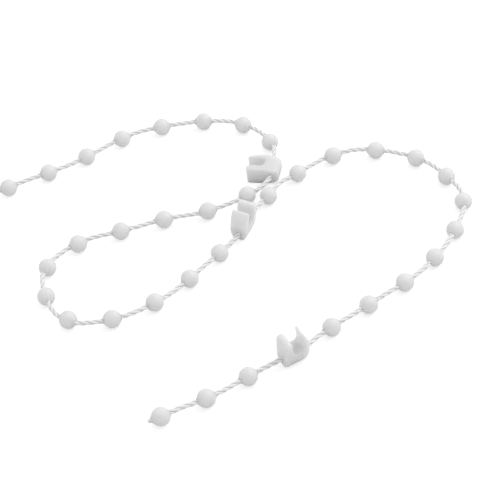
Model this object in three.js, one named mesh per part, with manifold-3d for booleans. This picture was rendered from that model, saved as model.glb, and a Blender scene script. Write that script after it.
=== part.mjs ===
// Bead chain for the foot of a vertical blind, laid loosely on a table in two bights.
// Moulded balls sit at one pitch along a twisted cord. Between the runs of balls sits a snap clip for each
// slat, whose two jaws grip the bar of the slat's weight. Millimetres, +Z up, table at z = 0.

import * as THREE from 'three';
import { mergeVertices } from 'three/addons/utils/BufferGeometryUtils.js';
import Module from 'manifold-3d';

const wasm = await Module();
wasm.setup();

// Chain
const ballRuns = [8, 12, 12, 3]; // balls before, between and after the clips
const ballPitch = 8.89; // along the cord, from one ball to the next
const clipPitch = 9.6; // from a ball to the clip beside it: with twelve balls between, clips are 117 mm apart
const moldRoom = 0.3; // radial room between the cord and each bore

// Cord
const cordDiameter = 1;
const cordStub = 2.4; // from the middle of the end ball to the cut end of the cord
const cordSides = 8;

// Ball
const ballDiameter = 3.5;
const neckReach = 1.8; // from the middle of the ball to the end of its neck
const neckRootRadius = 1; // where the neck leaves the ball
const neckWall = 0.15; // round the bore, at the end of the neck
const ballSides = 14;
const ballArcSteps = 4;

// Snap clip. Its length runs along the cord, its height away from the cord.
const clipThickness = 3.5;
const jawSpread = 5; // over both jaws, along the cord
const stoutJaw = 1.5; // thickness of the stout jaw
const stoutHeight = 5; // from the cord's middle to the top of the stout jaw
const slimJaw = 0.75; // thickness of the slim jaw at its waist
const slimHeight = 5.2; // from the cord's middle to the tip of the slim jaw
const slimHook = 0.35; // how far the tip of the slim jaw leans in over the slot
const slimTip = 0.3; // thickness of that tip
const slotWeb = 0.6; // between the bore and the bottom of the slot
const slotRound = 1; // radius at the bottom of the slot
const footDrop = 1.6; // from the cord's middle to the underside
const footLength = 4.2; // along the cord, at the underside
const footWidth = 2.7; // across the cord, at the underside
const shoulderHeight = 0.6; // from the cord's middle to where the sides run flat
const sideEase = 0.3; // how far each side draws in at the top of the jaws
const curveSteps = 5;

// How each clip lies: its turn about the cord away from upright, in degrees, and how far along the cord it
// sits from the middle of its gap
const clipLies = [{ turn: 90, slip: 0 }, { turn: 9, slip: -0.8 }, { turn: -9, slip: 0 }];

// The lay: one smooth line through these points, seen from above
const layPoints = [
  [-45.5, 25], [-37.5, 28], [-29.5, 31.5], [-21.5, 36.5], [-13.5, 38.5], [-4.5, 38.5], [4, 35.5], [9.2, 28],
  [9.2, 21.3], [7.2, 15.5], [2, 11], [-6.5, 8], [-15.5, 7.5], [-24, 5.5], [-32.5, 3.5], [-38.2, -2.5],
  [-38.2, -11], [-34, -19], [-25.5, -20], [-17.5, -17], [-10.5, -11.5], [-4.5, -5.5], [-0.5, -0.8], [1.7, 3.4],
  [6.5, 10], [13, 16], [20.5, 20.5], [29.5, 20.5], [37.5, 16], [42.5, 8.5], [44.5, 0], [41, -8.5],
  [35.5, -16], [29, -21.5], [14.5, -30.5], [9, -35], [4, -37.5], [-2, -40.5], [-9.5, -44.5], [-18, -47.5],
];

// Sizes that follow from those
const cordRadius = cordDiameter / 2;
const boreRadius = cordRadius + moldRoom;
const ballRadius = ballDiameter / 2;
const ballCount = ballRuns.reduce((sum, run) => sum + run, 0);
const clipCount = ballRuns.length - 1;
const chainLength = (ballCount - ballRuns.length) * ballPitch + 2 * clipCount * clipPitch;
const cordSteps = 2 * (ballCount + clipCount) - 1;
const halfSeat = ballPitch / 4; // a piece follows the cord between the points this far behind and ahead of it

const mouldedWhite = new THREE.MeshStandardMaterial({ color: 0xdededb, roughness: 0.45, metalness: 0 });
const cordWhite = new THREE.MeshStandardMaterial({ color: 0xe2e2df, roughness: 0.8, metalness: 0 });

const up = new THREE.Vector3(0, 0, 1);
const layLine = new THREE.CatmullRomCurve3(
  layPoints.map(([x, y]) => new THREE.Vector3(x, y, ballRadius)), false, 'catmullrom', 0.5);
layLine.arcLengthDivisions = 4000;

// The point a distance along the cord from the first ball. Past either end of the lay it runs on straight.
function alongLay(distance) {
  const length = layLine.getLength();
  const inside = THREE.MathUtils.clamp(distance, 0, length);
  const point = layLine.getPointAt(inside / length);
  return point.addScaledVector(layLine.getTangentAt(inside / length), distance - inside);
}

// The cord's centre line from stub to stub, with its parameter even in length
class CordLine extends THREE.Curve {
  getPoint(share) {
    return alongLay(share * (chainLength + 2 * cordStub) - cordStub);
  }

  getPointAt(share) {
    return this.getPoint(share);
  }
}

function makeCord() {
  const section = new THREE.Shape();
  for (let side = 0; side < cordSides; side += 1) {
    const angle = (2 * Math.PI * (side + 0.5)) / cordSides;
    const [x, y] = [cordRadius * Math.cos(angle), cordRadius * Math.sin(angle)];
    if (side === 0) section.moveTo(x, y);
    else section.lineTo(x, y);
  }
  section.closePath();
  const cord = new THREE.Mesh(
    new THREE.ExtrudeGeometry(section, { steps: cordSteps, extrudePath: new CordLine() }), cordWhite);
  cord.name = 'cord';
  return cord;
}

// A ball with a short neck at each end, turned about its own x, round a bore for the cord
function makeBallGeometry() {
  const neckEnd = boreRadius + neckWall;
  const root = Math.asin(neckRootRadius / ballRadius);
  const profile = [[boreRadius, -neckReach], [neckEnd, -neckReach]];
  for (let step = 0; step <= ballArcSteps; step += 1) {
    const angle = root + ((Math.PI - 2 * root) * step) / ballArcSteps;
    profile.push([ballRadius * Math.sin(angle), -ballRadius * Math.cos(angle)]);
  }
  profile.push([neckEnd, neckReach], [boreRadius, neckReach], [boreRadius, -neckReach]);
  const points = profile.map(([radius, height]) => new THREE.Vector2(radius, height));
  return new THREE.LatheGeometry(points, ballSides).rotateZ(-Math.PI / 2).rotateX(Math.PI / 2);
}

// The clip seen across the cord: x along the cord, y away from it, with the stout jaw at +x
function clipOutline() {
  const half = jawSpread / 2;
  const foot = footLength / 2;
  const stoutRound = stoutJaw / 2;
  const stoutMiddle = half - stoutRound;
  const slimInner = -half + slimJaw;
  const slotBottom = boreRadius + slotWeb;
  const tip = slimInner + slimHook;
  const outline = new THREE.Shape();
  outline.moveTo(-foot, -footDrop);
  outline.lineTo(foot, -footDrop);
  outline.quadraticCurveTo(half, -footDrop, half, 0);
  outline.lineTo(half, stoutHeight - stoutRound);
  outline.absarc(stoutMiddle, stoutHeight - stoutRound, stoutRound, 0, Math.PI, false);
  outline.lineTo(half - stoutJaw, slotBottom + slotRound);
  outline.absarc(half - stoutJaw - slotRound, slotBottom + slotRound, slotRound, 0, -Math.PI / 2, true);
  outline.lineTo(slimInner + slotRound, slotBottom);
  outline.absarc(slimInner + slotRound, slotBottom + slotRound, slotRound, -Math.PI / 2, -Math.PI, true);
  outline.lineTo(tip, slimHeight);
  outline.lineTo(tip - slimTip, slimHeight);
  outline.quadraticCurveTo(-half, (slimHeight + slotBottom + slotRound) / 2, -half, slotBottom + slotRound);
  outline.quadraticCurveTo(-half, 0, -foot, -footDrop);
  return outline;
}

// The clip seen along the cord: it widens from the foot to flat sides that draw in at the top
function clipSection() {
  const half = clipThickness / 2;
  const top = Math.max(stoutHeight, slimHeight);
  const foot = footWidth / 2;
  const section = new THREE.Shape();
  section.moveTo(-foot, -footDrop);
  section.lineTo(foot, -footDrop);
  section.lineTo(half, shoulderHeight);
  section.lineTo(half, top - sideEase);
  section.lineTo(half - sideEase, top + sideEase);
  section.lineTo(-half + sideEase, top + sideEase);
  section.lineTo(-half, top - sideEase);
  section.lineTo(-half, shoulderHeight);
  section.closePath();
  return section;
}

function toSolid(geometry) {
  geometry.deleteAttribute('normal');
  geometry.deleteAttribute('uv');
  const merged = mergeVertices(geometry);
  return new wasm.Manifold(new wasm.Mesh({
    numProp: 3,
    vertProperties: new Float32Array(merged.attributes.position.array),
    triVerts: new Uint32Array(merged.index.array),
  }));
}

function fromSolid(solid) {
  const mesh = solid.getMesh();
  const geometry = new THREE.BufferGeometry();
  geometry.setAttribute('position', new THREE.BufferAttribute(mesh.vertProperties, 3));
  geometry.setIndex(new THREE.BufferAttribute(mesh.triVerts, 1));
  geometry.computeVertexNormals();
  return geometry;
}

// A straight extrusion of a flat shape, centred on the shape's plane
function slab(shape, thickness) {
  const settings = { depth: thickness, bevelEnabled: false, curveSegments: curveSteps };
  return new THREE.ExtrudeGeometry(shape, settings).translate(0, 0, -thickness / 2);
}

function makeClipGeometry() {
  const through = 2 * jawSpread;
  const across = toSolid(slab(clipOutline(), 2 * clipThickness));
  const along = toSolid(slab(clipSection(), through).rotateY(Math.PI / 2));
  const bore = toSolid(new THREE.CylinderGeometry(boreRadius, boreRadius, through, 2 * cordSides)
    .rotateZ(Math.PI / 2));
  return fromSolid(across.intersect(along).subtract(bore));
}

// Lay a piece on the cord at a station, its x along the cord and its y turned away from upright
function layOnCord(geometry, name, station, turn) {
  const behind = alongLay(station - halfSeat);
  const ahead = alongLay(station + halfSeat);
  const along = ahead.clone().sub(behind).normalize();
  const right = along.clone().cross(up);
  const away = up.clone().multiplyScalar(Math.cos(turn)).addScaledVector(right, Math.sin(turn));
  const mesh = new THREE.Mesh(geometry, mouldedWhite);
  mesh.name = name;
  mesh.quaternion.setFromRotationMatrix(
    new THREE.Matrix4().makeBasis(along, away, along.clone().cross(away)));
  mesh.position.copy(behind.add(ahead).multiplyScalar(0.5));
  return mesh;
}

const moulded = new THREE.Group();
const ballGeometry = makeBallGeometry();
const clipGeometry = makeClipGeometry();
let balls = 0;
let clips = 0;
let station = 0;
for (const run of ballRuns) {
  if (balls > 0) {
    const { turn, slip } = clipLies[clips % clipLies.length];
    clips += 1;
    station += clipPitch;
    moulded.add(layOnCord(clipGeometry, `snap_clip_${clips}`, station + slip, THREE.MathUtils.degToRad(turn)));
    station += clipPitch;
  }
  for (let ball = 0; ball < run; ball += 1) {
    if (ball > 0) station += ballPitch;
    balls += 1;
    moulded.add(layOnCord(ballGeometry, `ball_${String(balls).padStart(2, '0')}`, station, 0));
  }
}

// Stand the chain with the middle of the moulded pieces' underside at the origin
const chain = new THREE.Group();
chain.add(makeCord(), moulded);
chain.updateMatrixWorld(true);
const bounds = new THREE.Box3().setFromObject(moulded, true);
const middle = bounds.getCenter(new THREE.Vector3());
chain.position.set(-middle.x, -middle.y, -bounds.min.z);

export default chain;
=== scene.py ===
"""A bead chain for the foot of a vertical blind, dressed for the camera.

Everything is in metres, +Z up, in the frame of the CAD model. The surface that the chain lies on is at z = 0.
"""

from __future__ import annotations

import logging
import math
from dataclasses import dataclass, field
from enum import Enum

import bmesh
import bpy
import numpy as np
from mathutils import Matrix, Vector


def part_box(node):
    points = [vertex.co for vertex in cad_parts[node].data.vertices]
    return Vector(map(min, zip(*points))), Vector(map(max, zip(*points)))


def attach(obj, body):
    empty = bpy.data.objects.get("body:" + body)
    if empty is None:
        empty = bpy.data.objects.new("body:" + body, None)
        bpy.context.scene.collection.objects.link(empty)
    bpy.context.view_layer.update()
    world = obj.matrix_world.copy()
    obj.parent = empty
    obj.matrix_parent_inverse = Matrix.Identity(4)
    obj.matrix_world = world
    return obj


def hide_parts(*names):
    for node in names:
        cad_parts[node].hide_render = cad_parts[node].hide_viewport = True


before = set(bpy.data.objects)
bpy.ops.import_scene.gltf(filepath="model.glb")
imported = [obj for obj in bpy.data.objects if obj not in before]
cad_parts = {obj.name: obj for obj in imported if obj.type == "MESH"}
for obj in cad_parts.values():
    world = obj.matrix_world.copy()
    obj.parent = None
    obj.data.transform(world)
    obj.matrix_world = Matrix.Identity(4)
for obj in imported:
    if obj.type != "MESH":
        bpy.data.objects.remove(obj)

LOG = logging.getLogger("chain")
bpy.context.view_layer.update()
BODY = "root"
MM = 0.001

UP = Vector((0.0, 0.0, 1.0))

# The lay, seen from above, in metres
LAY_POINTS = (
    (-0.0455, 0.025), (-0.0375, 0.028), (-0.0295, 0.0315), (-0.0215, 0.0365), (-0.0135, 0.0385),
    (-0.0045, 0.0385), (0.004, 0.0355), (0.0092, 0.028), (0.0092, 0.0213), (0.0072, 0.0155),
    (0.002, 0.011), (-0.0065, 0.008), (-0.0155, 0.0075), (-0.024, 0.0055), (-0.0325, 0.0035),
    (-0.0382, -0.0025), (-0.0382, -0.011), (-0.034, -0.019), (-0.0255, -0.02), (-0.0175, -0.017),
    (-0.0105, -0.0115), (-0.0045, -0.0055), (-0.0005, -0.0008), (0.0017, 0.0034), (0.0065, 0.01),
    (0.013, 0.016), (0.0205, 0.0205), (0.0295, 0.0205), (0.0375, 0.016), (0.0425, 0.0085),
    (0.0445, 0.0), (0.041, -0.0085), (0.0355, -0.016), (0.029, -0.0215), (0.0145, -0.0305),
    (0.009, -0.035), (0.004, -0.0375), (-0.002, -0.0405), (-0.0095, -0.0445), (-0.018, -0.0475),
)


def linear_colour(hex_colour: str) -> tuple[float, float, float, float]:
    """Turns an sRGB hex colour into the linear RGBA that a shader socket takes.

    Args:
        hex_colour: six hex digits after a #.

    Returns:
        Linear red, green and blue, with full alpha.
    """
    shares = [int(hex_colour[start:start + 2], 16) / 255 for start in (1, 3, 5)]
    red, green, blue = (s / 12.92 if s <= 0.04045 else ((s + 0.055) / 1.055) ** 2.4 for s in shares)
    return red, green, blue, 1.0


def add_node(
    tree: bpy.types.NodeTree,
    kind: str,
    values: dict[str | int, object] | None = None,
    links: dict[str | int, bpy.types.NodeSocket] | None = None,
    **settings: object,
) -> bpy.types.Node:
    """Adds a node with its settings, its fixed inputs and its incoming links.

    Args:
        tree: the node tree that it goes into.
        kind: the node's type, such as ShaderNodeTexNoise.
        values: fixed input values, by socket name or number.
        links: sockets to link from, by the name or number of the input that each one feeds.
        settings: the node's own properties.

    Returns:
        The new node.
    """
    node = tree.nodes.new(kind)
    for name, value in settings.items():
        setattr(node, name, value)
    for socket, value in (values or {}).items():
        node.inputs[socket].default_value = value
    for socket, source in (links or {}).items():
        tree.links.new(source, node.inputs[socket])
    return node


def empty_material(name: str) -> bpy.types.Material:
    """Makes a node material with nothing in it.

    Args:
        name: what the real finish is.

    Returns:
        The material, with an empty tree.
    """
    material = bpy.data.materials.new(name)
    material.use_nodes = True
    material.node_tree.nodes.clear()
    return material


def mesh_object(name: str, mesh: bpy.types.Mesh, material: bpy.types.Material) -> bpy.types.Object:
    """Puts a mesh into the scene, shaded smooth.

    Args:
        name: the piece's name.
        mesh: its shape.
        material: its finish.

    Returns:
        The new object.
    """
    if not mesh.materials:
        mesh.materials.append(material)
        mesh.polygons.foreach_set("use_smooth", [True] * len(mesh.polygons))
    piece = bpy.data.objects.new(name, mesh)
    bpy.context.scene.collection.objects.link(piece)
    return piece


def ring_mesh(name: str, rings: np.ndarray) -> bpy.types.Mesh:
    """Skins closed rings of points into a mesh with flat ends.

    Args:
        name: the mesh's name.
        rings: points as an array of ring, point in the ring, coordinate.

    Returns:
        A closed mesh.
    """
    count, sides, _ = rings.shape
    ring, side = np.meshgrid(np.arange(count - 1), np.arange(sides), indexing="ij")
    follows = (side + 1) % sides
    here = ring * sides
    there = (ring + 1) * sides
    walls = np.stack([here + side, here + follows, there + follows, there + side], axis=-1).reshape(-1, 4)
    ends = [list(range(sides))[::-1], list(range((count - 1) * sides, count * sides))]
    mesh = bpy.data.meshes.new(name)
    mesh.from_pydata(rings.reshape(-1, 3).tolist(), [], walls.tolist() + ends)
    mesh.update()
    return mesh


@dataclass
class Lay:
    """The line that the cord's middle follows, and where each ball and clip sits on it."""

    points: tuple[tuple[float, float], ...] = LAY_POINTS
    ball_runs: tuple[int, ...] = (8, 12, 12, 3)
    ball_pitch: float = 8.89 * MM
    clip_pitch: float = 9.6 * MM
    stub: float = 2.4 * MM
    height: float = 1.75 * MM
    steps_per_point: int = 120
    first_ball: str = "ball_01"
    shift: Vector = field(default_factory=Vector)

    def __post_init__(self) -> None:
        """Samples the line through the points and moves it to where the CAD model has its first ball."""
        inner = np.array(self.points)
        padded = np.vstack([2 * inner[0] - inner[1], inner, 2 * inner[-1] - inner[-2]])
        share = np.linspace(0, 1, self.steps_per_point, endpoint=False)[:, None]
        spans = []
        for before, start, end, after in zip(padded, padded[1:], padded[2:], padded[3:]):
            leaving = (end - before) / 2
            arriving = (after - start) / 2
            spans.append(
                (2 * share**3 - 3 * share**2 + 1) * start
                + (share**3 - 2 * share**2 + share) * leaving
                + (3 * share**2 - 2 * share**3) * end
                + (share**3 - share**2) * arriving
            )
        line = np.vstack([*spans, inner[-1]])
        self.line = np.column_stack([line, np.full(len(line), self.height)])
        lengths = np.linalg.norm(np.diff(self.line, axis=0), axis=1)
        self.reached = np.concatenate([[0.0], np.cumsum(lengths)])
        low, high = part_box(self.first_ball)
        middle = (Vector(low) + Vector(high)) / 2
        self.shift = middle - self.seat(0.0).translation
        self.line = self.line + np.array(self.shift)

    @property
    def chain_length(self) -> float:
        """From the first ball's middle to the last one's, along the cord."""
        return self.ball_stations[-1]

    @property
    def cord_length(self) -> float:
        """The whole cord, from cut end to cut end."""
        return self.chain_length + 2 * self.stub

    @property
    def ball_stations(self) -> list[float]:
        """Where each ball's middle is, along the cord from the first one."""
        stations = []
        station = 0.0
        for run in self.ball_runs:
            stations.extend(station + ball * self.ball_pitch for ball in range(run))
            station = stations[-1] + 2 * self.clip_pitch
        return stations

    @property
    def clip_stations(self) -> list[float]:
        """Where the middle of each clip's gap is, along the cord from the first ball."""
        ends = np.cumsum(self.ball_runs)[:-1] - 1
        return [self.ball_stations[end] + self.clip_pitch for end in ends]

    def along(self, distances: np.ndarray) -> np.ndarray:
        """Finds points on the line.

        Args:
            distances: along the line from the first ball. Past either end the line runs on straight.

        Returns:
            One point a row.
        """
        inside = np.clip(distances, 0, self.reached[-1])
        points = np.column_stack([np.interp(inside, self.reached, column) for column in self.line.T])
        first = self.line[1] - self.line[0]
        last = self.line[-1] - self.line[-2]
        ends = np.where((distances < 0)[:, None], first, last)
        ends = ends / np.linalg.norm(ends, axis=1)[:, None]
        return points + ends * (distances - inside)[:, None]

    def seat(self, station: float, turn: float = 0.0) -> Matrix:
        """Works out how a piece sits on the cord.

        Args:
            station: of the piece's middle, along the cord from the first ball.
            turn: about the cord, away from upright, in radians.

        Returns:
            The piece's matrix: its x along the cord and its y turned away from upright.
        """
        half_seat = self.ball_pitch / 4
        ends = self.along(np.array([station - half_seat, station + half_seat]))
        behind, ahead = (Vector(end) for end in ends)
        along = (ahead - behind).normalized()
        right = along.cross(UP)
        away = UP * math.cos(turn) + right * math.sin(turn)
        basis = Matrix((along, away, along.cross(away))).transposed().to_4x4()
        basis.translation = (behind + ahead) / 2
        return basis


@dataclass(frozen=True)
class MouldedAcetal:
    """Natural white acetal, injection moulded.

    Dense and milky, so light spreads inside it and softens its shading. The mould gives a satin skin: a broad
    soft highlight and no clear mirror.
    """

    name: str = "natural_acetal_injection_moulded"
    colour: str = "#E0E0E0"
    shaded_colour: str = "#D9D9D9"
    ior: float = 1.48
    roughness: float = 0.42
    satin_spread: tuple[float, float] = (0.06, 0.08)
    scatter_depth: float = 3.5 * MM
    flow_mark_size: float = 2.2 * MM
    skin_grain_size: float = 0.18 * MM
    skin_grain_height: float = 0.02 * MM

    def build(self) -> bpy.types.Material:
        """Makes the material.

        Returns:
            A milky plastic with faint flow marks and the fine grain of a moulded skin.
        """
        material = empty_material(self.name)
        tree = material.node_tree
        place = add_node(tree, "ShaderNodeTexCoord")
        flow = add_node(
            tree, "ShaderNodeTexNoise",
            {"Scale": 1 / self.flow_mark_size, "Detail": 3.0, "Roughness": 0.55, "Distortion": 0.6},
            {"Vector": place.outputs["Object"]},
        )
        tint = add_node(
            tree, "ShaderNodeMix",
            {6: linear_colour(self.shaded_colour), 7: linear_colour(self.colour)},
            {"Factor": flow.outputs["Fac"]}, data_type="RGBA",
        )
        below, above = self.satin_spread
        polish = add_node(
            tree, "ShaderNodeMapRange",
            {"To Min": self.roughness - below, "To Max": self.roughness + above},
            {"Value": flow.outputs["Fac"]},
        )
        grain = add_node(
            tree, "ShaderNodeTexNoise",
            {"Scale": 1 / self.skin_grain_size, "Detail": 2.0},
            {"Vector": place.outputs["Object"]},
        )
        bump = add_node(
            tree, "ShaderNodeBump", {"Strength": 0.12, "Distance": self.skin_grain_height},
            {"Height": grain.outputs["Fac"]},
        )
        surface = add_node(
            tree, "ShaderNodeBsdfPrincipled",
            {"IOR": self.ior, "Subsurface Weight": 1.0, "Subsurface Scale": self.scatter_depth,
             "Subsurface Radius": (1.0, 1.0, 1.0)},
            {"Base Color": tint.outputs[2], "Roughness": polish.outputs["Result"],
             "Normal": bump.outputs["Normal"]},
        )
        add_node(tree, "ShaderNodeOutputMaterial", links={"Surface": surface.outputs["BSDF"]})
        return material


@dataclass(frozen=True)
class TwistedPolyester:
    """White polyester cord, three plies of filament yarn laid up with a right-hand twist.

    The filaments run nearly straight along the cord and catch light softly; grey shade is painted into the
    grooves.
    """

    name: str = "polyester_filament_cord_twisted"
    colour: str = "#FAFAFA"
    # Painted shade: the grey painted into the grooves between the plies
    painted_groove_shade: str = "#D2D2D2"
    roughness: float = 0.68
    scatter_depth: float = 0.3 * MM
    yarn_mark_size: float = 0.5 * MM
    plies: int = 3
    filament_lines: int = 21
    filament_height: float = 0.03 * MM

    def build(self) -> bpy.types.Material:
        """Makes the material, which reads the share round the ply section and the turns along the cord as UV.

        Returns:
            A soft fibrous white with grey shade painted into the grooves between the plies.
        """
        material = empty_material(self.name)
        tree = material.node_tree
        place = add_node(tree, "ShaderNodeTexCoord")
        split = add_node(tree, "ShaderNodeSeparateXYZ", links={"Vector": place.outputs["UV"]})
        angle = add_node(
            tree, "ShaderNodeMath", {1: 2 * math.pi * self.plies}, {0: split.outputs["X"]},
            operation="MULTIPLY",
        )
        crest = add_node(tree, "ShaderNodeMath", links={0: angle.outputs[0]}, operation="COSINE")
        # Painted shade mask: 0 deep in the grooves between the plies, 1 on the crests
        depth = add_node(
            tree, "ShaderNodeMapRange", {"From Min": -1.0, "From Max": -0.45, "To Min": 0.0, "To Max": 1.0},
            {"Value": crest.outputs[0]}, interpolation_type="SMOOTHSTEP",
        )
        yarn = add_node(
            tree, "ShaderNodeTexNoise", {"Scale": 1 / self.yarn_mark_size, "Detail": 3.0},
            {"Vector": place.outputs["Object"]},
        )
        fibre_tone = add_node(
            tree, "ShaderNodeMapRange", {"To Min": 0.94, "To Max": 1.0}, {"Value": yarn.outputs["Fac"]},
        )
        # The mix factor: the painted groove shade times the yarn's random tone
        light = add_node(
            tree, "ShaderNodeMath", links={0: depth.outputs["Result"], 1: fibre_tone.outputs["Result"]},
            operation="MULTIPLY",
        )
        tint = add_node(
            tree, "ShaderNodeMix",
            {6: linear_colour(self.painted_groove_shade), 7: linear_colour(self.colour)},
            {"Factor": light.outputs[0]}, data_type="RGBA",
        )
        # Real filaments are about 0.02 mm across: these lines are 0.15 mm apart, so that they show
        straight = add_node(
            tree, "ShaderNodeMath", links={0: split.outputs["X"], 1: split.outputs["Y"]}, operation="ADD",
        )
        lines = add_node(
            tree, "ShaderNodeMath", {1: 2 * math.pi * self.filament_lines}, {0: straight.outputs[0]},
            operation="MULTIPLY",
        )
        ridges = add_node(tree, "ShaderNodeMath", links={0: lines.outputs[0]}, operation="SINE")
        bump = add_node(
            tree, "ShaderNodeBump", {"Strength": 0.35, "Distance": self.filament_height},
            {"Height": ridges.outputs[0]},
        )
        surface = add_node(
            tree, "ShaderNodeBsdfPrincipled",
            {"Roughness": self.roughness, "IOR": 1.5, "Sheen Weight": 0.7, "Sheen Roughness": 0.5,
             "Subsurface Weight": 0.5, "Subsurface Scale": self.scatter_depth,
             "Subsurface Radius": (1.0, 1.0, 1.0)},
            {"Base Color": tint.outputs[2], "Normal": bump.outputs["Normal"]},
        )
        add_node(tree, "ShaderNodeOutputMaterial", links={"Surface": surface.outputs["BSDF"]})
        return material


@dataclass(frozen=True)
class PaleSurface:
    """The plain white card that the chain lies on. It shows white to the eye and keeps the chain's shadow."""

    name: str = "white_card_smooth"
    colour: str = "#E0E0E0"
    lift: float = 0.67

    def build(self) -> bpy.types.Material:
        """Makes the material.

        Returns:
            A matt white that glows a little to the camera, so that only real shade darkens it.
        """
        material = empty_material(self.name)
        tree = material.node_tree
        paths = add_node(tree, "ShaderNodeLightPath")
        seen = add_node(
            tree, "ShaderNodeMath",
            links={0: paths.outputs["Is Camera Ray"], 1: paths.outputs["Is Glossy Ray"]}, operation="MAXIMUM",
        )
        seen_through = add_node(
            tree, "ShaderNodeMath", links={0: seen.outputs[0], 1: paths.outputs["Is Transmission Ray"]},
            operation="MAXIMUM",
        )
        card = add_node(tree, "ShaderNodeBsdfDiffuse", {"Color": linear_colour(self.colour)})
        glow = add_node(
            tree, "ShaderNodeMath", {1: self.lift}, {0: seen_through.outputs[0]}, operation="MULTIPLY",
        )
        lifted = add_node(
            tree, "ShaderNodeEmission", {"Color": linear_colour(self.colour)}, {"Strength": glow.outputs[0]},
        )
        both = add_node(
            tree, "ShaderNodeAddShader", links={0: card.outputs[0], 1: lifted.outputs[0]},
        )
        add_node(tree, "ShaderNodeOutputMaterial", links={"Surface": both.outputs[0]})
        return material


@dataclass
class TwistedCord:
    """The cord: three plies in a right-hand twist, one skin, sealed at its cut ends."""

    lay: Lay
    diameter: float = 1.0 * MM
    twist_length: float = 4.8 * MM
    plies: int = 3
    ply_share: float = 0.57
    ring_step: float = 0.25 * MM
    points_per_ply: int = 10
    side_bow: float = 0.16 * MM
    side_rhythm: tuple[float, float] = (2.4, 0.6)
    rise_bow: float = 0.10 * MM
    rise_rhythm: tuple[float, float] = (3.7, 1.1)
    slack_gap: int = 22
    slack_bow: float = 0.6 * MM
    sealed_steps: int = 3
    sealed_share: float = 0.72
    cad_node: str = "cord"

    def section(self, angles: np.ndarray) -> np.ndarray:
        """Gives the section's reach from the cord's middle.

        Args:
            angles: round the section, from the crest of the first ply.

        Returns:
            The reach at each angle: round plies side by side, with a groove between each two.
        """
        radius = self.diameter / 2
        ply = radius * self.ply_share
        offset = radius - ply
        half_step = math.pi / self.plies
        off_crest = (angles + half_step) % (2 * half_step) - half_step
        return offset * np.cos(off_crest) + np.sqrt(ply**2 - (offset * np.sin(off_crest)) ** 2)

    def bow(self, distances: np.ndarray) -> np.ndarray:
        """Gives the small slack curves of the cord between its balls.

        Args:
            distances: along the cord from the first ball.

        Returns:
            How far the cord strays, to the left and up, one row for each distance.
        """
        seats = np.sort(self.lay.ball_stations + self.lay.clip_stations)
        place = np.clip(np.searchsorted(seats, distances, side="right") - 1, 0, len(seats) - 2)
        share = np.clip((distances - seats[place]) / (seats[place + 1] - seats[place]), 0, 1)
        window = np.sin(np.pi * share) ** 2
        side_step, side_start = self.side_rhythm
        rise_step, rise_start = self.rise_rhythm
        left = self.side_bow * np.sin(side_step * place + side_start)
        left = left + self.slack_bow * (place == self.slack_gap)
        rise = self.rise_bow * np.sin(rise_step * place + rise_start)
        return np.column_stack([left * window, rise * window])

    def middle_line(self) -> tuple[np.ndarray, np.ndarray]:
        """Works out the ring centres.

        Returns:
            The distances along the cord and the centre at each.
        """
        count = round(self.lay.cord_length / self.ring_step) + 1
        distances = np.linspace(-self.lay.stub, self.lay.chain_length + self.lay.stub, count)
        centres = self.lay.along(distances)
        heading = np.gradient(centres, axis=0)
        heading /= np.linalg.norm(heading, axis=1)[:, None]
        left = np.cross(np.array(UP), heading)
        stray = self.bow(distances)
        return distances, centres + left * stray[:, :1] + np.array(UP) * stray[:, 1:]

    def build(self, material: bpy.types.Material) -> bpy.types.Object:
        """Args:
            material: the cord's finish.

        Returns:
            The cord's object.
        """
        distances, centres = self.middle_line()
        heading = np.gradient(centres, axis=0)
        heading /= np.linalg.norm(heading, axis=1)[:, None]
        left = np.cross(np.array(UP), heading)
        left /= np.linalg.norm(left, axis=1)[:, None]
        over = np.cross(heading, left)
        sides = self.plies * self.points_per_ply
        angles = np.linspace(0, 2 * math.pi, sides, endpoint=False)
        reach = np.tile(self.section(angles), (len(distances), 1))
        for step in range(self.sealed_steps):
            squeeze = self.sealed_share + (1 - self.sealed_share) * math.sqrt(step / self.sealed_steps)
            reach[step] *= squeeze
            reach[-1 - step] *= squeeze
        turned = angles[None, :] + 2 * math.pi * distances[:, None] / self.twist_length
        rings = (
            centres[:, None, :]
            + left[:, None, :] * (reach * np.cos(turned))[:, :, None]
            + over[:, None, :] * (reach * np.sin(turned))[:, :, None]
        )
        mesh = ring_mesh("twisted_cord", rings)
        self.unwrap(mesh, distances, sides)
        piece = mesh_object("twisted_cord", mesh, material)
        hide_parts(self.cad_node)
        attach(piece, BODY)
        return piece

    def unwrap(self, mesh: bpy.types.Mesh, distances: np.ndarray, sides: int) -> None:
        """Gives the skin a UV map: the share round the section, and the turns of twist along the cord.

        Args:
            mesh: the cord's mesh, its walls before its two ends.
            distances: along the cord, one for each ring.
            sides: points in a ring.
        """
        ring, side = np.meshgrid(np.arange(len(distances) - 1), np.arange(sides), indexing="ij")
        turns = distances / self.twist_length
        around = np.stack([side, side + 1, side + 1, side], axis=-1) / sides
        along = np.stack([turns[ring], turns[ring], turns[ring + 1], turns[ring + 1]], axis=-1)
        walls = np.stack([around, along], axis=-1).reshape(-1, 2)
        caps = np.zeros((2 * sides, 2))
        layer = mesh.uv_layers.new(name="twist")
        layer.data.foreach_set("uv", np.vstack([walls, caps]).astype(np.float32).ravel())


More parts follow.
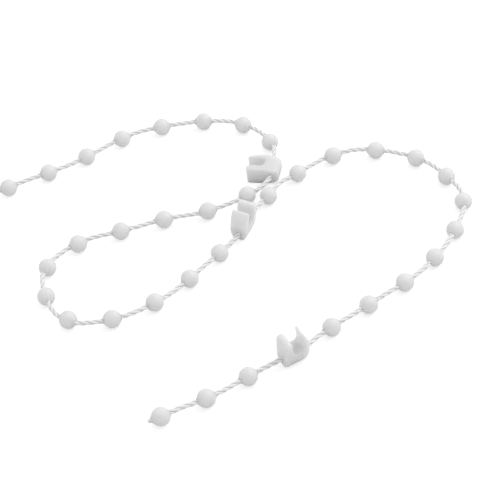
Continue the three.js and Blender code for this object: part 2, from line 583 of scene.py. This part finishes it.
@dataclass
class MouldedBall:
    """A ball moulded onto the cord, with a short neck each way and a fine seam where the mould closed."""

    radius: float = 1.75 * MM
    neck_reach: float = 1.8 * MM
    neck_root: float = 1.0 * MM
    neck_end: float = 0.72 * MM
    lip: float = 0.16 * MM
    bore: float = 0.42 * MM
    seam_height: float = 0.025 * MM
    seam_width: float = 0.05 * MM
    seam_reach: float = 0.648 * MM
    seam_gather: float = 0.42
    seam_swing: float = 0.5
    seam_rhythm: float = 1.9
    meridians: int = 72
    arc_steps: int = 26
    lip_steps: int = 4

    def profile(self) -> list[tuple[float, float]]:
        """Works out half the ball's outline.

        Returns:
            Points as distance along the cord and reach from it, from the near neck's end to the far one's.
        """
        root = math.asin(self.neck_root / self.radius)
        points = [(-self.neck_reach, self.bore)]
        for step in range(self.lip_steps + 1):
            angle = math.pi / 2 * step / self.lip_steps
            points.append((
                -self.neck_reach + self.lip * (1 - math.cos(angle)),
                self.neck_end - self.lip + self.lip * math.sin(angle),
            ))
        for step in range(self.arc_steps + 1):
            angle = root + (math.pi - 2 * root) * step / self.arc_steps
            points.append((-self.radius * math.cos(angle), self.radius * math.sin(angle)))
        near = points[:self.lip_steps + 2]
        points.extend((-x, reach) for x, reach in reversed(near))
        return points

    def mesh(self) -> bpy.types.Mesh:
        """Makes the ball's mesh, its x along the cord.

        Returns:
            A closed mesh, with its meridians gathered at the seam.
        """
        even = np.linspace(0, 2 * math.pi, self.meridians, endpoint=False)
        angles = even - self.seam_gather * np.sin(2 * even)
        rings = []
        for x, reach in self.profile():
            off_seam = np.abs(np.sin(angles)) * reach
            ridge = self.seam_height * np.exp(-((off_seam / self.seam_width) ** 2))
            spread = reach + ridge * (reach > self.seam_reach)
            rings.append(np.column_stack([
                np.full_like(angles, x),
                spread * np.cos(angles),
                spread * np.sin(angles),
            ]))
        return ring_mesh("moulded_ball", np.array(rings))

    def build(self, lay: Lay, material: bpy.types.Material) -> list[bpy.types.Object]:
        """Makes every ball of the chain and seats it on the cord.

        Args:
            lay: where the places are.
            material: the balls' finish.

        Returns:
            The balls, in order along the cord.
        """
        shape = self.mesh()
        balls = []
        for number, station in enumerate(lay.ball_stations, start=1):
            mesh = shape.copy()
            mesh.transform(lay.seat(station, self.seam_swing * math.sin(self.seam_rhythm * number)))
            ball = mesh_object(f"moulded_ball_{number:02d}", mesh, material)
            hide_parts(f"ball_{number:02d}")
            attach(ball, BODY)
            balls.append(ball)
        return balls


class ClipLie(Enum):
    """How a clip lies: its turn about the cord away from upright, and its slip along it from mid-gap."""

    ON_ITS_SIDE = (math.radians(90), 0.0)
    LEANING_OUT = (math.radians(9), -0.8 * MM)
    LEANING_IN = (math.radians(-9), 0.0)


@dataclass
class SnapClip:
    """A clip moulded onto the cord, whose stout and slim jaws grip the bar of a slat weight.

    Its outline has x along the cord and y away from it. Sizes are in millimetres until the mesh is done.
    """

    thickness: float = 3.5
    jaw_spread: float = 5.0
    stout_jaw: float = 1.5
    stout_height: float = 5.0
    slim_jaw: float = 0.75
    slim_height: float = 5.2
    slim_hook: float = 0.35
    slim_tip: float = 0.3
    slot_bottom: float = 1.4
    slot_round: float = 1.0
    foot_drop: float = 1.6
    foot_length: float = 4.2
    foot_width: float = 2.7
    shoulder_height: float = 0.6
    foot_round: float = 0.5
    top_round: float = 0.5
    skin_step: float = 0.07
    edge_softening: int = 14
    same_point: float = 1e-4
    arc_steps: int = 14
    lies: tuple[ClipLie, ...] = (ClipLie.ON_ITS_SIDE, ClipLie.LEANING_OUT, ClipLie.LEANING_IN)

    def arc(
        self, middle: tuple[float, float], radius: float, start: float, end: float
    ) -> list[tuple[float, float]]:
        """Gives points on an arc.

        Args:
            middle: the arc's centre.
            radius: the arc's radius.
            start: first angle, in degrees.
            end: last angle, in degrees.

        Returns:
            The points, both ends included.
        """
        angles = np.radians(np.linspace(start, end, self.arc_steps + 1))
        return [(middle[0] + radius * math.cos(a), middle[1] + radius * math.sin(a)) for a in angles]

    def bend(
        self, start: tuple[float, float], corner: tuple[float, float], end: tuple[float, float]
    ) -> list[tuple[float, float]]:
        """Gives points on a smooth bend that leaves and arrives along the lines through its corner.

        Args:
            start: first point.
            corner: where those lines meet.
            end: last point.

        Returns:
            The points, both ends included.
        """
        a, b, c = (np.array(point) for point in (start, corner, end))
        shares = np.linspace(0, 1, self.arc_steps + 1)
        return [tuple((1 - s) ** 2 * a + 2 * s * (1 - s) * b + s**2 * c) for s in shares]

    def outline(self) -> list[tuple[float, float]]:
        """Works out the clip seen across the cord.

        Returns:
            The outline, with the stout jaw at +x.
        """
        half = self.jaw_spread / 2
        foot = self.foot_length / 2
        stout_round = self.stout_jaw / 2
        slot_right = half - self.stout_jaw
        slot_left = -half + self.slim_jaw
        slot_top = self.slot_bottom + self.slot_round
        tip = slot_left + self.slim_hook
        return [
            *self.bend((foot, -self.foot_drop), (half, -self.foot_drop), (half, 0)),
            *self.arc((half - stout_round, self.stout_height - stout_round), stout_round, 0, 180),
            *self.arc((slot_right - self.slot_round, slot_top), self.slot_round, 0, -90),
            *self.arc((slot_left + self.slot_round, slot_top), self.slot_round, -90, -180),
            (tip, self.slim_height),
            *self.bend(
                (tip - self.slim_tip, self.slim_height), (-half, (self.slim_height + slot_top) / 2),
                (-half, slot_top),
            ),
            *self.bend((-half, slot_top), (-half, 0), (-foot, -self.foot_drop)),
        ]

    def section(self) -> list[tuple[float, float]]:
        """Works out the clip seen along the cord.

        Returns:
            The section: it widens from the foot to flat sides that draw in at the top.
        """
        half = self.thickness / 2
        foot = self.foot_width / 2
        top = max(self.stout_height, self.slim_height)
        right = [
            *self.bend(
                (foot - self.foot_round, -self.foot_drop),
                (foot, -self.foot_drop),
                (half, self.shoulder_height),
            ),
            *self.bend((half, top - self.top_round), (half, top), (half - self.top_round, top)),
        ]
        return right + [(-x, y) for x, y in reversed(right)]

    def prism(self, name: str, outline: list[tuple[float, float]], depth: float) -> bpy.types.Object:
        """Makes a straight prism, centred on its outline's plane.

        Args:
            name: the object's name.
            outline: the outline in x and y.
            depth: along z.

        Returns:
            The prism as a working object.
        """
        work = bmesh.new()
        pairs = zip(outline, outline[1:] + outline[:1])
        clean = [point for point, after in pairs if math.dist(point, after) > self.same_point]
        face = work.faces.new([work.verts.new((x, y, -depth / 2)) for x, y in clean])
        raised = bmesh.ops.extrude_face_region(work, geom=[face])["geom"]
        corners = [item for item in raised if isinstance(item, bmesh.types.BMVert)]
        bmesh.ops.translate(work, verts=corners, vec=(0, 0, depth))
        bmesh.ops.recalc_face_normals(work, faces=work.faces)
        mesh = bpy.data.meshes.new(name)
        work.to_mesh(mesh)
        work.free()
        prism = bpy.data.objects.new(name, mesh)
        bpy.context.scene.collection.objects.link(prism)
        return prism

    def mesh(self) -> bpy.types.Mesh:
        """Makes the clip's mesh from the part that its two prisms share, with softened edges.

        Returns:
            A closed mesh in metres.
        """
        across = self.prism("clip_across", self.outline(), 2 * self.thickness)
        along = self.prism("clip_along", self.section(), 2 * self.jaw_spread)
        along.data.transform(Matrix.Rotation(math.pi / 2, 4, "Y"))
        keep = across.modifiers.new("keep", "BOOLEAN")
        keep.operation = "INTERSECT"
        keep.solver = "EXACT"
        keep.object = along
        skin = across.modifiers.new("skin", "REMESH")
        skin.mode = "VOXEL"
        skin.voxel_size = self.skin_step
        soften = across.modifiers.new("soften", "SMOOTH")
        soften.factor = 0.5
        soften.iterations = self.edge_softening
        graph = bpy.context.evaluated_depsgraph_get()
        mesh = bpy.data.meshes.new_from_object(across.evaluated_get(graph))
        mesh.transform(Matrix.Scale(MM, 4))
        mesh.name = "snap_clip"
        for helper in (across, along):
            bpy.data.objects.remove(helper)
        return mesh

    def build(self, lay: Lay, material: bpy.types.Material) -> list[bpy.types.Object]:
        """Makes the clips and seats each on the cord.

        Args:
            lay: where the places are.
            material: the clips' finish.

        Returns:
            The clips, in order along the cord.
        """
        shape = self.mesh()
        clips = []
        for number, (station, lie) in enumerate(zip(lay.clip_stations, self.lies), start=1):
            turn, slip = lie.value
            mesh = shape.copy()
            mesh.transform(lay.seat(station + slip, turn))
            clip = mesh_object(f"moulded_clip_{number}", mesh, material)
            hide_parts(f"snap_clip_{number}")
            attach(clip, BODY)
            clips.append(clip)
        return clips


@dataclass(frozen=True)
class PhotoCamera:
    """A long lens, looking down at the lay from the front, rolled a little."""

    elevation: float = 39.5
    distance: float = 382.7 * MM
    roll: float = -8.0
    focal_length: float = 146.6
    sensor_width: float = 36.0

    def build(self, target: Vector) -> bpy.types.Object:
        """Sets the camera up as the scene's own.

        Args:
            target: the point that it looks at.

        Returns:
            The camera.
        """
        tilt = math.radians(self.elevation)
        roll = math.radians(self.roll)
        right = Vector((1, 0, 0))
        over = Vector((0, math.sin(tilt), math.cos(tilt)))
        back = right.cross(over)
        side = right * math.cos(roll) + over * math.sin(roll)
        top = over * math.cos(roll) - right * math.sin(roll)
        data = bpy.data.cameras.new("photo_camera")
        data.lens = self.focal_length
        data.sensor_width = self.sensor_width
        data.clip_start = 0.02
        data.clip_end = 20
        camera = bpy.data.objects.new("photo_camera", data)
        camera.matrix_world = Matrix.Translation(target + back * self.distance) @ Matrix(
            (side, top, back)).transposed().to_4x4()
        bpy.context.scene.collection.objects.link(camera)
        bpy.context.scene.camera = camera
        return camera


@dataclass(frozen=True)
class Studio:
    """A bright tent of soft light, with a large lamp high on the right and a little behind."""

    tent_colour: str = "#FFFFFE"
    tent_strength: float = 0.77
    key_colour: str = "#FDFCFF"
    key_power: float = 1.75
    key_size: float = 0.5
    key_place: tuple[float, float, float] = (0.42, 0.22, 0.55)
    floor_size: float = 6.0

    def build(self) -> None:
        """Builds the floor, the world's light and the lamp."""
        self.build_world()
        self.build_key()
        self.build_floor()

    def build_world(self) -> None:
        """Lights evenly from all round, and shows white behind everything."""
        world = bpy.data.worlds.new("light_tent")
        world.use_nodes = True
        tree = world.node_tree
        tree.nodes.clear()
        paths = add_node(tree, "ShaderNodeLightPath")
        tent = add_node(
            tree, "ShaderNodeBackground",
            {"Color": linear_colour(self.tent_colour), "Strength": self.tent_strength},
        )
        white = add_node(tree, "ShaderNodeBackground", {"Color": (1, 1, 1, 1), "Strength": 1.0})
        seen = add_node(
            tree, "ShaderNodeMath",
            links={0: paths.outputs["Is Camera Ray"], 1: paths.outputs["Is Transmission Ray"]},
            operation="MAXIMUM",
        )
        either = add_node(
            tree, "ShaderNodeMixShader",
            links={0: seen.outputs[0], 1: tent.outputs[0], 2: white.outputs[0]},
        )
        add_node(tree, "ShaderNodeOutputWorld", links={"Surface": either.outputs[0]})
        bpy.context.scene.world = world

    def build_key(self) -> None:
        """Hangs the large soft lamp and aims it at the chain."""
        data = bpy.data.lights.new("soft_key", "AREA")
        data.color = linear_colour(self.key_colour)[:3]
        data.energy = self.key_power
        data.size = self.key_size
        lamp = bpy.data.objects.new("soft_key", data)
        place = Vector(self.key_place)
        lamp.location = place
        lamp.rotation_euler = (-place).to_track_quat("-Z", "Y").to_euler()
        bpy.context.scene.collection.objects.link(lamp)

    def build_floor(self) -> None:
        """Lays the white card under the chain."""
        half = self.floor_size / 2
        mesh = bpy.data.meshes.new("card_floor")
        corners = [(-half, -half, 0), (half, -half, 0), (half, half, 0), (-half, half, 0)]
        mesh.from_pydata(corners, [], [(0, 1, 2, 3)])
        floor = mesh_object("card_floor", mesh, PaleSurface().build())


def main() -> None:
    """Builds the dressed chain: camera and cord first, then what is on the cord, then the studio."""
    logging.basicConfig(level=logging.INFO, format="%(message)s")
    lay = Lay()
    PhotoCamera().build(Vector((lay.shift.x, lay.shift.y, 0.0)))
    cord = TwistedCord(lay).build(TwistedPolyester().build())
    LOG.info("%s: %d faces", cord.name, len(cord.data.polygons))
    plastic = MouldedAcetal().build()
    balls = MouldedBall().build(lay, plastic)
    LOG.info("%d balls: %d faces each", len(balls), len(balls[0].data.polygons))
    clips = SnapClip().build(lay, plastic)
    LOG.info("%d clips: %d faces each", len(clips), len(clips[0].data.polygons))
    Studio().build()
    bpy.context.scene.view_settings.view_transform = "Standard"
    bpy.context.view_layer.update()


if __name__ == "__main__":
    main()
